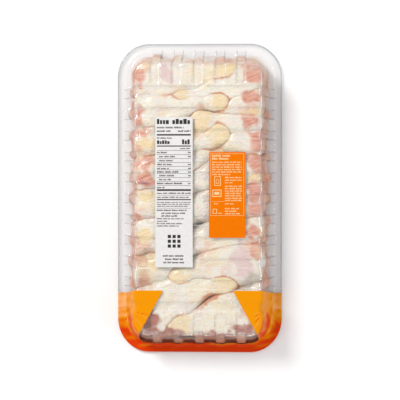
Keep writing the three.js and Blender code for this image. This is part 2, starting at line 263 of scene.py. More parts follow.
def add_attribute(mesh, name, values):
    """Stores one number, or one vector, a point"""
    values = np.asarray(values, dtype=np.float32)
    if values.ndim == 1:
        mesh.attributes.new(name, "FLOAT", "POINT").data.foreach_set("value", values)
    else:
        layer = mesh.attributes.new(name, "FLOAT_VECTOR", "POINT")
        layer.data.foreach_set("vector", values.ravel())


class TrayShape:
    """The tray as a height over plan, on a grid whose corners are turned into the real ones"""

    def __init__(self, sizes):
        self.s = sizes
        self.half_width = FLANGE_HALF_WIDTH - sizes.flange_offset
        stretched = sizes.corner + sizes.flange_offset * sizes.end_stretch
        self.half_length = FLANGE_HALF_LENGTH - stretched + sizes.corner
        self.arc_x = self.half_width - sizes.corner
        self.arc_y = self.half_length - sizes.corner
        self.top = TRAY_HIGH.z

    def pulses(self, along, ribs, edge):
        """One on a rib and zero between ribs, by the place along the wall"""
        places = np.array([k * self.s.rib_pitch for k in ribs])
        nearest = np.abs(np.asarray(along)[..., None] - places).min(axis=-1)
        return 1 - smoothstep(self.s.rib_half - edge, self.s.rib_half + edge, nearest)

    def lines(self, half, ribs, wall_step, coarse, edge):
        """Grid lines on one axis: close together at the walls and at each rib's edges"""
        shoulder = half - 9 * MM
        marks = {-shoulder, shoulder}
        for k in ribs:
            for side in (-1, 1):
                for part in (-1, -0.33, 0.33, 1):
                    marks.add(k * self.s.rib_pitch + side * self.s.rib_half + part * edge)
        marks = sorted(marks)
        inner = [marks[0]]
        for low, high in zip(marks, marks[1:]):
            count = max(1, math.ceil((high - low) / coarse))
            inner += list(np.linspace(low, high, count + 1)[1:])
        foot = half + self.s.wall_spread + self.s.flute_depth + 3 * MM
        wall = np.arange(shoulder + wall_step, foot, wall_step)
        edge_line = half + self.s.flange_offset
        outer = np.concatenate([wall, np.linspace(foot, edge_line - 0.8 * MM, 4), [edge_line]])
        return np.concatenate([-outer[::-1], inner, outer])

    def grid(self, wall_step=0.6 * MM, coarse=3 * MM, edge=0.8 * MM):
        """The square grid that covers the tray, before its corners are turned"""
        x = self.lines(self.half_width, END_RIBS, wall_step, coarse, edge)
        y = self.lines(self.half_length, SIDE_RIBS, wall_step, coarse, edge)
        return np.meshgrid(x, y, indexing="ij")

    def stretch(self, reach):
        """How much further out the ends lie than the sides at this distance from an arc's middle"""
        s = self.s
        past = np.maximum(reach, s.corner) - s.corner
        wall = np.minimum(past, s.wall_spread)
        flange = s.flange_offset * s.end_stretch - s.wall_spread * s.wall_stretch
        beyond = (past - wall) * flange / (s.flange_offset - s.wall_spread)
        return (s.corner + wall * s.wall_stretch + beyond) / (s.corner + past)

    def turn_corners(self, x, y, pull_in=0.0):
        """Moves a square grid's corner points onto arcs; pull_in draws the outermost line in"""
        p = np.abs(x) - self.arc_x
        q = np.abs(y) - self.arc_y
        reach = np.maximum(p, q)
        edge = self.s.corner + self.s.flange_offset
        share = np.where(reach > edge - 1e-6, (edge - pull_in) / edge, 1.0)
        p = np.where(p > 0, p * share, p)
        q = np.where(q > 0, q * share, q)
        both = (p > 0) & (q > 0)
        m = np.where(both, np.maximum(p, q), 1)
        angle = math.pi / 4 * np.where(both, np.minimum(p, q), 0) / m
        long_side, short_side = m * np.cos(angle), m * np.sin(angle)
        p = np.where(both, np.where(p >= q, long_side, short_side), p)
        q = np.where(both, np.where(np.abs(y) - self.arc_y > np.abs(x) - self.arc_x, long_side,
                                    short_side), q)
        q = np.where(q > 0, q * self.stretch(reach * share), q)
        offset = reach * share - self.s.corner
        return np.sign(x) * (p + self.arc_x), np.sign(y) * (q + self.arc_y), offset

    def offset_at(self, x, y):
        """Distance outside the base's outline of any point in plan"""
        p = np.abs(x) - self.arc_x
        q = np.abs(y) - self.arc_y
        reach = np.maximum(p, q)
        for _ in range(4):
            flat = q / self.stretch(reach)
            round_part = np.hypot(np.maximum(p, 0), np.maximum(flat, 0))
            reach = np.where((p > 0) | (flat > 0), round_part, np.maximum(p, flat))
        return reach - self.s.corner

    def ribs_at(self, x, y, edge):
        """How far each point is on a wall's rib, and on a channel of the base"""
        side = self.pulses(y, SIDE_RIBS, edge)
        end = self.pulses(x, END_RIBS, edge)
        start = self.half_length - self.s.end_channel
        end_channel = end * smoothstep(start - edge, start + edge, np.abs(y))
        at_end = np.abs(y) - self.arc_y > np.abs(x) - self.arc_x
        return np.where(at_end, end, side), np.maximum(side, end_channel)

    def height(self, offset, rib, channel, inset=0.0, fillet=1.5 * MM, depth=None, bridging=0.0):
        """Height of the surface at an offset: a straight wall with a round at each end

        A film over the ribs' feet dips in between them by all but the share that it bridges.
        """
        s = self.s
        deep = s.channel_depth if depth is None else depth
        radius = s.edge_round
        top = self.top - inset - deep * channel
        foot_z = s.flange_top - inset
        foot = s.wall_spread + s.flute_depth * (bridging + (1 - bridging) * rib) - inset
        head = -s.rib_inset * rib - inset
        slope = np.arctan2(top - foot_z, foot - head)
        head_run = radius * np.tan(slope / 2)
        foot_run = fillet * np.tan(slope / 2)
        line = top - (offset - head) * np.tan(slope)
        head_mid = head - head_run
        foot_mid = foot + foot_run
        head_in = np.clip(offset - head_mid, 0, radius)
        head_arc = top - radius + np.sqrt(np.maximum(radius**2 - head_in**2, 0))
        foot_in = np.clip(foot_mid - offset, 0, fillet)
        foot_arc = foot_z + fillet - np.sqrt(np.maximum(fillet**2 - foot_in**2, 0))
        z = np.where(offset < head + head_run * np.cos(slope), head_arc, line)
        z = np.where(offset < head_mid, top, z)
        z = np.where(offset > foot - foot_run * np.cos(slope), foot_arc, z)
        return np.where(offset > foot_mid, foot_z, z)


def grid_faces(rows, columns, start=0, flip=False):
    """Quads of a grid of points stored row by row"""
    index = start + np.arange(rows * columns).reshape(rows, columns)
    a, b, c, d = index[:-1, :-1], index[1:, :-1], index[1:, 1:], index[:-1, 1:]
    order = (d, c, b, a) if flip else (a, b, c, d)
    return np.stack(order, axis=-1).reshape(-1, 4)


def rim_of(rows, columns):
    """The grid's outermost points in order, counter-clockwise where the first axis is X"""
    index = np.arange(rows * columns).reshape(rows, columns)
    return np.concatenate([index[:-1, 0], index[-1, :-1], index[:0:-1, -1], index[0, :0:-1]])


def band(upper, lower):
    """Quads between two closed loops of points"""
    return np.stack([upper, lower, np.roll(lower, -1), np.roll(upper, -1)], axis=1)


class Shader:
    """Builds a material's nodes in a few words"""

    def __init__(self, name):
        self.material = bpy.data.materials.new(name)
        self.material.use_nodes = True
        self.tree = self.material.node_tree
        self.tree.nodes.clear()
        self.end = self.tree.nodes.new("ShaderNodeOutputMaterial")

    def node(self, kind, inputs=(), **settings):
        """A new node with its settings, and its inputs fed"""
        made = self.tree.nodes.new("ShaderNode" + kind)
        for key, value in settings.items():
            setattr(made, key, value)
        for key, value in dict(inputs).items():
            self.feed(made, key, value)
        return made

    def feed(self, node, key, value):
        """Links a socket or a node to an input, or sets the input's own value"""
        if isinstance(value, bpy.types.NodeSocket):
            self.tree.links.new(value, node.inputs[key])
        elif isinstance(value, bpy.types.Node):
            self.tree.links.new(value.outputs[0], node.inputs[key])
        else:
            node.inputs[key].default_value = value

    def attribute(self, name):
        """One number that the mesh holds at each point"""
        return self.node("Attribute", attribute_name=name).outputs["Fac"]

    def place(self):
        """The place on the piece in metres"""
        return self.node("TexCoord").outputs["Object"]

    def noise(self, scale, detail=2.0, roughness=0.5, vector=None):
        """Noise in space, or along another vector"""
        inputs = {"Scale": scale, "Detail": detail, "Roughness": roughness}
        made = self.node("TexNoise", inputs)
        self.feed(made, "Vector", vector if vector else self.place())
        return made.outputs["Fac"]

    def ramp(self, value, low, high, out_low=0.0, out_high=1.0):
        """Takes a value from one span to another, with its ends held"""
        inputs = {"Value": value, "From Min": low, "From Max": high, "To Min": out_low,
                  "To Max": out_high}
        return self.node("MapRange", inputs).outputs["Result"]

    def math(self, operation, a, b):
        """A sum, a product or a power of two numbers"""
        return self.node("Math", {0: a, 1: b}, operation=operation).outputs[0]

    def mix(self, share, first, second):
        """The first colour, with the second laid over it by its share"""
        made = self.node("Mix", data_type="RGBA")
        self.feed(made, 0, share)
        self.feed(made, 6, first)
        self.feed(made, 7, second)
        return made.outputs[2]

    def bump(self, height, distance, strength=1.0):
        """A normal that is bent by fine relief"""
        inputs = {"Height": height, "Distance": distance, "Strength": strength}
        return self.node("Bump", inputs).outputs["Normal"]

    def finish(self, surface):
        """Sets the surface and gives the finished material"""
        self.feed(self.end, "Surface", surface)
        return self.material


def rgba(colour):
    """A colour as the nodes want it, with an alpha of one"""
    return (colour[0], colour[1], colour[2], 1.0)


def clear_material(name, veil, gloss_roughness, grazing):
    """Clear plastic: see-through, with gloss, and whiter where it is seen edge on; painted shade
    darkens its outlines seen edge on and its marked edge lines, and painted highlights whiten its
    marked channel lines
    """
    s = Shader(name)
    ripple = s.bump(s.noise(90.0, 2.0), 0.0004, 0.25)
    edge_on = s.node("LayerWeight", {"Blend": 0.5, "Normal": ripple}).outputs["Facing"]
    slight = s.mix(s.ramp(edge_on, 0.35, 0.8), (0.997, 0.997, 0.997, 1), (0.98, 0.98, 0.98, 1))
    # Painted shade: a warm dark outline where the plastic is seen edge on
    tint = s.mix(s.ramp(edge_on, 0.965, 1.0), slight, (0.76, 0.66, 0.60, 1))
    # Painted shade: grey lines along the tray's rib and channel edges and along the film's outer edge
    tint = s.mix(s.attribute("painted_edge_shade"), tint, (0.80, 0.81, 0.82, 1))
    juice = s.attribute("juice")
    tint = s.mix(juice, tint, (0.90, 0.74, 0.64, 1))
    through = s.node("BsdfTransparent", {"Color": tint})
    haze = s.node("BsdfDiffuse", {"Color": s.mix(juice, (0.93, 0.94, 0.95, 1),
                                                 (0.80, 0.34, 0.17, 1))})
    # Painted highlight: white haze along one edge of each channel
    painted_channel_highlight = s.math("MULTIPLY", s.attribute("painted_channel_highlight"), 0.16)
    cloudy = s.math("ADD", painted_channel_highlight, s.math("MULTIPLY", juice, 0.36))
    share = s.math("ADD", cloudy, s.ramp(edge_on, 0.6, 1.0, veil, grazing))
    body = s.node("MixShader", {0: share, 1: through, 2: haze})
    gloss = s.node("BsdfGlossy", {"Color": (1, 1, 1, 1), "Roughness": gloss_roughness,
                                  "Normal": ripple})
    taut = s.math("MULTIPLY", s.attribute("taut"), 0.07)
    mirrored = s.math("ADD", taut, s.ramp(s.math("POWER", edge_on, 5.0), 0.0, 1.0, 0.015, 0.05))
    return s.finish(s.node("MixShader", {0: mirrored, 1: body, 2: gloss}))


def orange_film_material(colours):
    """Printed film: its tone runs from pale over the flange to deep where it is folded double, with
    painted shade on the right flange and in folds, and painted highlights on ridges and a glint
    """
    s = Shader("orange_printed_film")
    tone = s.attribute("tone")
    lit = s.mix(s.ramp(tone, 0.0, 0.4), rgba(colours.orange_pale), rgba(colours.orange_film))
    base = s.mix(s.ramp(tone, 0.5, 1.0), lit, rgba(colours.orange_deep))
    ripple = s.bump(s.noise(160.0, 3.0), 0.0004, 0.3)
    print_coat = s.node("BsdfPrincipled", {"Base Color": base, "Roughness": 0.3, "Normal": ripple,
                                           "Specular IOR Level": 0.06})
    through = s.node("BsdfTransparent", {"Color": (1.0, 0.5, 0.02, 1)})
    return s.finish(s.node("MixShader", {0: 0.96, 1: through, 2: print_coat}))


def print_material(name, colour, roughness=0.42):
    """Printing ink on film, with a faint unevenness"""
    s = Shader(name)
    uneven = s.noise(400.0, 2.0)
    dark = tuple(0.93 * c for c in colour)
    base = s.mix(s.ramp(uneven, 0.35, 0.65), rgba(colour), rgba(dark))
    ripple = s.bump(s.noise(120.0, 2.0), 0.0003, 0.2)
    coat = s.node("BsdfPrincipled", {"Base Color": base, "Roughness": roughness, "Normal": ripple,
                                     "Specular IOR Level": 0.03})
    return s.finish(coat)


def chicken_material(colours):
    """Moist raw skin, with muscle, fat, veins and gristle where the patches are"""
    s = Shader("raw_chicken")
    along_bone = s.node("Attribute", attribute_name="bone_place").outputs["Vector"]
    cloud = s.noise(38.0, 3.0, 0.55, along_bone)
    mottle = s.noise(170.0, 3.0, 0.6, along_bone)
    speckle = s.noise(430.0, 2.0, 0.6, along_bone)
    blush = s.noise(30.0, 4.0, 0.6)
    glow = s.noise(21.0, 4.0, 0.6)
    drawn = s.node("Mapping", {"Vector": along_bone, "Scale": (70.0, 420.0, 420.0)})
    grain = s.noise(1.0, 4.0, 0.6, drawn.outputs[0])
    sides = s.attribute("sides")
    skin = s.mix(s.ramp(cloud, 0.45, 0.70), rgba(colours.skin), rgba(colours.skin_shade))
    skin = s.mix(s.ramp(glow, 0.50, 0.64, 0.0, 0.75), skin, rgba(colours.yellow))
    skin = s.mix(s.ramp(mottle, 0.48, 0.68, 0.0, 0.4), skin, rgba(colours.yellow))
    skin = s.mix(s.ramp(speckle, 0.52, 0.8, 0.0, 0.6), skin, rgba(colours.fat))
    skin = s.mix(s.ramp(grain, 0.52, 0.74, 0.0, 0.3), skin, rgba(colours.flesh_pale))
    pink = s.math("ADD", blush, s.math("MULTIPLY", sides, 0.04))
    skin = s.mix(s.ramp(pink, 0.58, 0.72, 0.0, 0.7), skin, rgba(colours.flesh_pale))
    muscle = s.mix(s.ramp(grain, 0.35, 0.62), rgba(colours.flesh), rgba(colours.flesh_pale))
    muscle = s.mix(s.ramp(glow, 0.52, 0.66, 0.0, 0.5), muscle, rgba(colours.yellow))
    base = skin
    # The crease kind is partly juice and partly painted shade, in creases and along the walls
    for kind, colour in (
        ("fat", rgba(colours.fat)),
        ("mauve", rgba(colours.mauve)),
        ("flesh", muscle),
        ("dark", rgba(colours.dark)),
        ("gristle", rgba(colours.gristle)),
        ("blood", rgba(colours.blood)),
        ("crease", rgba(colours.crease)),
    ):
        ragged = s.math("MULTIPLY", s.attribute(kind), s.ramp(mottle, 0.3, 0.7, 0.7, 1.3))
        base = s.mix(s.ramp(ragged, 0.1, 1.0, 0.0, 0.95), base, colour)
    streaks = s.bump(grain, 0.0018, 0.6)
    dimples = s.node("Bump", {"Height": speckle, "Distance": 0.0018, "Strength": 0.8,
                              "Normal": streaks}).outputs["Normal"]
    inputs = {
        "Base Color": base,
        "Roughness": 0.38,
        "Normal": dimples,
        "Subsurface Weight": 0.2,
        "Subsurface Radius": (1.0, 0.45, 0.3),
        "Subsurface Scale": 0.003,
        "Coat Weight": 0.4,
        "Coat Roughness": 0.12,
    }
    return s.finish(s.node("BsdfPrincipled", inputs))


class Bone:
    """A drumstick's bone line, with the radius of the meat round it at each step"""

    STEPS = 26
    KNUCKLE = 12 * MM
    SHANK = 10.5 * MM
    CALF = 28 * MM
    END = 22 * MM
    BOW = 3 * MM
    PROUD = 2 * MM

    def __init__(self, knuckle, end, size, bow_side):
        self.start = np.array(knuckle) * MM
        self.end = np.array(end) * MM
        self.size = size
        line = self.end - self.start
        side = np.cross(line, (0, 0, 1))
        side /= np.linalg.norm(side)
        self.bend = (self.start + self.end) / 2 + side * 2 * self.BOW * bow_side
        along = np.linspace(0, 1, self.STEPS)
        self.centres = self.point(along)
        self.radii = self.radius(along)
        proud = self.PROUD * smoothstep(40, 45, knuckle[2])
        self.pushing = self.radii + proud * (1 - smoothstep(0.1, 0.3, along))

    def point(self, along):
        """The place at a share of the bone's length"""
        t = np.asarray(along)[..., None]
        return (1 - t) ** 2 * self.start + 2 * t * (1 - t) * self.bend + t**2 * self.end

    def tangent(self, along):
        """The bone's direction there"""
        t = np.asarray(along)[..., None]
        slope = (1 - t) * (self.bend - self.start) + t * (self.end - self.bend)
        return slope / np.linalg.norm(slope, axis=-1, keepdims=True)

    def radius(self, along):
        """The radius of the unpressed meat there"""
        calf = (self.CALF * self.size - self.SHANK) * smoothstep(0.08, 0.86, along)
        knuckle = (self.KNUCKLE - self.SHANK) * (1 - smoothstep(0.06, 0.18, along))
        taper = (self.CALF - self.END) * self.size * smoothstep(0.84, 1, along)
        return self.SHANK + calf + knuckle - taper

    def away(self, points):
        """Distance of each point from each step of the bone"""
        square = (points**2).sum(1)[:, None] + (self.centres**2).sum(1) - 2 * points @ self.centres.T
        return np.sqrt(np.maximum(square, 0))

    def outside(self, away):
        """How far each point is outside the unpressed meat"""
        return (away - self.radii).min(axis=1)

    def push(self, away):
        """The same where two drumsticks press, in favour of a knuckle that lies on top"""
        return (away - self.pushing).min(axis=1)


class Meat:
    """All drumsticks together, each pressed by its neighbours, the tray and the film below"""

    REACH = 60 * MM
    HALVINGS = 12
    OPEN_CREASE = (8, -122)
    OPEN_WIDTH = 3.2 * MM
    WALL_FILL = 6
    SAG = 7
    END_SAG = 13
    SWELL = 1.1 * MM
    FOLD = 0.45 * MM
    AIR = 0.7 * MM
    LOOSE_GAP = 2.6 * MM
    LOOSE_ROUND = 1.1 * MM
    TRAY_GAP = 0.15 * MM
    LID_GAP = 0.3 * MM
    SETTLE = 0.5 * MM
    STEP = 0.2 * MM
    NEIGHBOUR = 2.3 * Bone.CALF
    TIP_SHARE = 0.06
    PATTERN_SHIFT = 0.37

    def __init__(self, sizes, tray):
        self.s = sizes
        self.tray = tray
        self.bones = {}
        for i, stick in enumerate(LEFT_ROW):
            self.bones[f"drumstick_left_{i + 1}"] = Bone(*stick, 1 if i % 2 else -1)
        for i, stick in enumerate(RIGHT_ROW):
            self.bones[f"drumstick_right_{i + 1}"] = Bone(*stick, -1 if i % 2 else 1)
        self.swell = Waves(11, 46 * MM)
        self.folds = Waves(12, 15 * MM)
        self.air = Waves(13, 24 * MM)

    def tray_limit(self, points):
        """How far each point is outside the tray's inner face"""
        x, y, z = points.T
        inset = self.s.wall + self.TRAY_GAP
        offset = self.tray.offset_at(x, y)
        rib, channel = self.tray.ribs_at(x, y, 1.6 * MM)
        step = self.STEP
        low = self.tray.height(offset - step, rib, channel, inset)
        high = self.tray.height(offset + step, rib, channel, inset)
        slope = (low - high) / (2 * step)
        settle = self.SETTLE * (1 + self.air(points))
        return (z - (low + high) / 2) / np.sqrt(1 + slope**2) + settle

    def pressed(self, bone, near, points):
        """How far each point is past the middle between this drumstick and each neighbour"""
        own = bone.push(bone.away(points))
        return np.stack([(own - other.push(other.away(points))) / 2 for other in near])

    def limit(self, bone, near, points):
        """Below zero inside a pressed drumstick; creases come out rounded"""
        own = bone.outside(bone.away(points))
        relief = self.SWELL * self.swell(points) + self.FOLD * self.folds(points)
        at_wall = smoothstep(-16 * MM, -2 * MM, self.tray.offset_at(points[:, 0], points[:, 1]))
        sagging = 1 - smoothstep(18 * MM, 44 * MM, points[:, 2])
        printed_end = 1 - smoothstep(-160 * MM, -150 * MM, points[:, 1])
        fill = self.WALL_FILL + (self.SAG + self.END_SAG * printed_end) * sagging
        plump = self.s.plumpness + at_wall * fill * MM
        loose = at_wall * (1 - smoothstep(30 * MM, 50 * MM, points[:, 2]))
        above_lid = LID_HIGH.z + self.LID_GAP - points[:, 2]
        free = [own - plump - relief, self.tray_limit(points), above_lid]
        wide = self.open_crease(points)
        gap = (self.s.press_gap + self.AIR * self.air(points) + self.LOOSE_GAP * loose + wide) / 2
        stacked = np.concatenate([np.stack(free), self.pressed(bone, near, points) + gap])
        most = stacked.max(axis=0)
        soft = self.s.crease + self.LOOSE_ROUND * loose
        spread = np.exp((stacked - most) / soft).sum(axis=0)
        return most + soft * np.log(spread)

    def open_crease(self, points):
        """The one wide crease, between the two lowest drumsticks"""
        middle = np.array(self.OPEN_CREASE) * MM
        far = np.linalg.norm(points[:, :2] - middle, axis=1)
        return self.OPEN_WIDTH * (1 - smoothstep(8 * MM, 24 * MM, far))

    def shape(self, name, rings, around, caps):
        """One drumstick's points, ring by ring, each with its share of the bone, its juice with painted
        shade, and its place
        """
        bone = self.bones[name]
        near = [
            other for key, other in self.bones.items()
            if key != name and other.away(bone.centres).min() < self.NEIGHBOUR
        ]
        quarter = math.pi / 2
        fan = np.arange(1, caps + 1) / (caps + 1)
        along = np.concatenate([np.zeros(caps), np.linspace(0, 1, rings), np.ones(caps)])
        tilt = np.concatenate([-quarter * (1 - fan), np.zeros(rings), quarter * fan])
        origin = bone.point(along)
        tangent = bone.tangent(along)
        side = np.cross((0, 0, 1), tangent)
        side /= np.linalg.norm(side, axis=1)[:, None]
        rise = np.cross(tangent, side)
        turn = 2 * math.pi * np.arange(around) / around
        out = side[:, None] * np.cos(turn)[:, None] + rise[:, None] * np.sin(turn)[:, None]
        lean = np.cos(tilt)[:, None, None]
        ray = out * lean + tangent[:, None] * np.sin(tilt)[:, None, None]
        rays = np.concatenate([ray.reshape(-1, 3), -tangent[:1], tangent[-1:]])
        starts = np.concatenate([np.repeat(origin, around, axis=0), origin[:1], origin[-1:]])
        low = np.zeros(len(rays))
        high = np.full(len(rays), self.REACH)
        for _ in range(self.HALVINGS):
            middle = (low + high) / 2
            inside = self.limit(bone, near, starts + rays * middle[:, None]) < 0
            low = np.where(inside, middle, low)
            high = np.where(inside, high, middle)
        points = starts + rays * low[:, None]
        share = np.concatenate([np.repeat(along + tilt * self.TIP_SHARE, around), [-0.1, 1.1]])
        middle = self.pressed(bone, near, points).max(axis=0) + self.open_crease(points)
        # Juice colour with painted shade: darkest down in the creases between drumsticks and, where
        # wet, along the walls
        crease = smoothstep(-0.7 * MM, 0.1 * MM, middle)
        offset = self.tray.offset_at(points[:, 0], points[:, 1])
        pooled = 0.5 * (1 - smoothstep(-169 * MM, -162 * MM, points[:, 1]))
        pressed = smoothstep(-7 * MM, -1 * MM, middle)
        wet = np.clip(0.3 + 0.2 * self.swell(points) + 0.4 * pressed + pooled, 0, 1)
        at_wall = smoothstep(-8 * MM, 3 * MM, offset) * wet
        shift = points - starts
        sideways = np.concatenate([np.repeat(side, around, axis=0), side[:1], side[-1:]])
        upwards = np.concatenate([np.repeat(rise, around, axis=0), rise[:1], rise[-1:]])
        length = np.linalg.norm(bone.end - bone.start)
        own_patch = list(self.bones).index(name) * self.PATTERN_SHIFT
        place = np.stack(
            [share * length + own_patch, (shift * sideways).sum(1), (shift * upwards).sum(1)], axis=1
        )
        juice_and_shade = crease * (0.55 + 0.45 * self.swell(points))
        return points, share, np.maximum(juice_and_shade, at_wall), place


def closed_faces(rings, around):
    """Faces of rings closed by a tip at each end, the tips stored last"""
    faces = []
    for i in range(rings - 1):
        for j in range(around):
            k = (j + 1) % around
            faces.append((i * around + j, i * around + k, (i + 1) * around + k, (i + 1) * around + j))
    first, last = rings * around, (rings - 1) * around
    for j in range(around):
        k = (j + 1) % around
        faces.append((first, k, j))
        faces.append((first + 1, last + j, last + k))
    return faces


def patch_masks(points, share):
    """How much of each kind of patch there is at each point of a drumstick"""
    ragged = Waves(21, 16 * MM)(points)
    fine = Waves(22, 7 * MM)(points)
    masks = {kind: np.zeros(len(points)) for kind in PATCHES}
    for kind, spots in PATCHES.items():
        for x, y, half_x, half_y in spots:
            far = np.hypot((points[:, 0] / MM - x) / half_x, (points[:, 1] / MM - y) / half_y)
            near = 1 - smoothstep(0.55, 1.3, far + 0.22 * ragged + 0.14 * fine)
            near = near * smoothstep(12 * MM, 26 * MM, points[:, 2])
            masks[kind] = np.maximum(masks[kind], near)
    low_down = 1 - smoothstep(30 * MM, 46 * MM, points[:, 2])
    thick_end = smoothstep(0.8, 1.0, share + 0.12 * ragged)
    masks["flesh"] = np.maximum(masks["flesh"], 0.75 * thick_end * low_down)
    knuckle = 1 - smoothstep(0.05, 0.16, share + 0.03 * fine)
    masks["fat"] = np.maximum(masks["fat"], 0.85 * knuckle)
    masks["sides"] = smoothstep(34 * MM, 66 * MM, np.abs(points[:, 0]))
    return masks


class PACK_OT_drumsticks(bpy.types.Operator):
    """Builds the pressed drumsticks"""

    bl_idname = "pack.drumsticks"
    bl_label = "Drumsticks"

    def execute(self, context):
        sizes = context.scene.pack_sizes
        meat = Meat(sizes, TrayShape(sizes))
        rings, around, caps = sizes.rings, sizes.around, sizes.rings // 5
        material = chicken_material(context.scene.pack_colours)
        faces = closed_faces(rings + 2 * caps, around)
        for name in meat.bones:
            points, share, crease, place = meat.shape(name, rings, around, caps)
            piece = new_piece(name + "_meat", points, faces, material, [name])
            for kind, mask in patch_masks(points, share).items():
                add_attribute(piece.data, kind, mask)
            # The crease mask carries juice colour and painted shade
            add_attribute(piece.data, "crease", crease)
            add_attribute(piece.data, "bone_place", place)
        return {"FINISHED"}


class PACK_OT_tray(bpy.types.Operator):
    """Builds the clear ribbed tray"""

    bl_idname = "pack.tray"
    bl_label = "Tray"

    EDGE = 0.8 * MM
    LIP = 1.2 * MM
    # Strengths of the painted shade lines at a rib's edges and at a channel's edges
    RIB_LINE = 0.9
    CHANNEL_LINE = 0.3

    def execute(self, context):
        sizes = context.scene.pack_sizes
        shape = TrayShape(sizes)
        flat_x, flat_y = shape.grid(edge=self.EDGE)
        x, y, offset = shape.turn_corners(flat_x, flat_y)
        rib, channel = shape.ribs_at(flat_x, flat_y, self.EDGE)
        top = np.stack([x, y, shape.height(offset, rib, channel)], axis=-1)
        lines, painted_channel_highlight = self.moulded_lines(offset, rib, channel)
        x, y, offset = shape.turn_corners(flat_x, flat_y, pull_in=self.LIP)
        under = np.stack([x, y, shape.height(offset, rib, channel, sizes.wall)], axis=-1)
        rows, columns = flat_x.shape
        count = rows * columns
        rim = rim_of(rows, columns)
        lip_out = top.reshape(-1, 3)[rim].copy()
        lip_out[:, 2] = TRAY_LOW.z
        lip_in = under.reshape(-1, 3)[rim].copy()
        lip_in[:, 2] = TRAY_LOW.z
        points = np.concatenate([top.reshape(-1, 3), under.reshape(-1, 3), lip_out, lip_in])
        loops = [rim, 2 * count + np.arange(len(rim)), 2 * count + len(rim) + np.arange(len(rim)),
                 count + rim]
        faces = [grid_faces(rows, columns), grid_faces(rows, columns, count, flip=True)]
        faces += [band(upper, lower) for upper, lower in zip(loops, loops[1:])]
        material = clear_material("clear_tray_plastic", 0.01, 0.06, 0.012)
        piece = new_piece("tray_shell", points, np.concatenate(faces), material,
                          ["tray"])
        rest = np.zeros(len(points) - 2 * count)
        # The dark lines go out as painted shade and the whitened ones as painted highlights
        add_attribute(piece.data, "painted_edge_shade", np.concatenate([lines, lines, rest]))
        add_attribute(piece.data, "painted_channel_highlight", np.concatenate([painted_channel_highlight, painted_channel_highlight, rest]))
        add_attribute(piece.data, "juice", self.juice(points, shape))
        return {"FINISHED"}

    def juice(self, points, shape):
        """Where the meat's juice wets the walls"""
        offset = shape.offset_at(points[:, 0], points[:, 1])
        walls = smoothstep(-1 * MM, 3 * MM, offset) * (1 - smoothstep(7 * MM, 12 * MM, offset))
        far_end = smoothstep(146 * MM, 162 * MM, points[:, 1])
        smeared = walls * np.clip(0.24 + 0.3 * Waves(61, 24 * MM)(points) - 0.2 * far_end, 0, 1)
        foot = smoothstep(4 * MM, 9 * MM, offset) * (1 - smoothstep(16 * MM, 19 * MM, offset))
        pooled = foot * (1 - smoothstep(-166 * MM, -160 * MM, points[:, 1]))
        return np.maximum(smeared, 0.9 * pooled)

    def moulded_lines(self, offset, rib, channel):
        """Where the plastic turns sharply at a rib's or a channel's edges: dark lines of painted shade,
        and whitened ones of painted highlight on one side of each channel
        """
        walls = smoothstep(-3 * MM, 1 * MM, offset) * (1 - smoothstep(16 * MM, 18 * MM, offset))
        at_rib = 4 * rib * (1 - rib) * walls
        at_channel = 4 * channel * (1 - channel) * (1 - walls) * (offset < 0)
        whitened = np.gradient(channel, axis=1) > np.gradient(channel, axis=0)
        dark = self.RIB_LINE * at_rib + self.CHANNEL_LINE * at_channel * ~whitened
        return dark.ravel(), (at_channel * whitened).ravel()


def split_by_field(points, triangles, field):
    """Cuts triangles where the field is zero; gives the points and the triangles on each side"""
    points = list(map(tuple, points))
    middle_of = {}

    def crossing(a, b):
        key = (min(a, b), max(a, b))
        if key not in middle_of:
            t = field[a] / (field[a] - field[b])
            middle_of[key] = len(points)
            points.append(tuple(p + (q - p) * t for p, q in zip(points[a], points[b])))
        return middle_of[key]

    sides = {True: [], False: []}
    for triangle in triangles.tolist():
        signs = [bool(field[v] > 0) for v in triangle]
        if signs[0] == signs[1] == signs[2]:
            sides[signs[0]].append(triangle)
            continue
        lone = next(i for i in range(3) if signs.count(signs[i]) == 1)
        a, b, c = triangle[lone], triangle[(lone + 1) % 3], triangle[(lone + 2) % 3]
        ab, ac = crossing(a, b), crossing(a, c)
        sides[signs[lone]].append((a, ab, ac))
        sides[not signs[lone]] += [(ab, b, c), (ab, c, ac)]
    return np.array(points), sides[True], sides[False]


class PrintOutline:
    """The printed end of the film in plan, with its clear window"""

    START = -107.5 * MM
    LEAN = 0.14
    NECK = 41 * MM
    SLOPE = 0.55
    BASE_END = -160 * MM
    OUTWARDS = 0.7
    DOWNWARDS = 0.3
    REACH = 25.6 * MM
    CORNER = 12 * MM

    def field(self, x, y, z):
        """Above zero where the film is printed; the window runs down the end wall to its foot"""
        down = TRAY_HIGH.z - z
        past = self.START - y - self.LEAN * down
        side = (np.abs(x) - self.NECK - self.SLOPE * past) / math.hypot(1, self.SLOPE)
        end = self.OUTWARDS * (self.BASE_END - y) + self.DOWNWARDS * down - self.REACH
        a = np.maximum(side + self.CORNER, 0)
        b = np.maximum(end + self.CORNER, 0)
        rounded = np.hypot(a, b) - self.CORNER
        outside = np.where((a > 0) & (b > 0), rounded, np.maximum(side, end))
        return np.minimum(past, outside)


def used_only(points, triangles):
    """Drops the points that no triangle uses"""
    used, where = np.unique(np.array(triangles), return_inverse=True)
    return points[used], where.reshape(-1, 3)


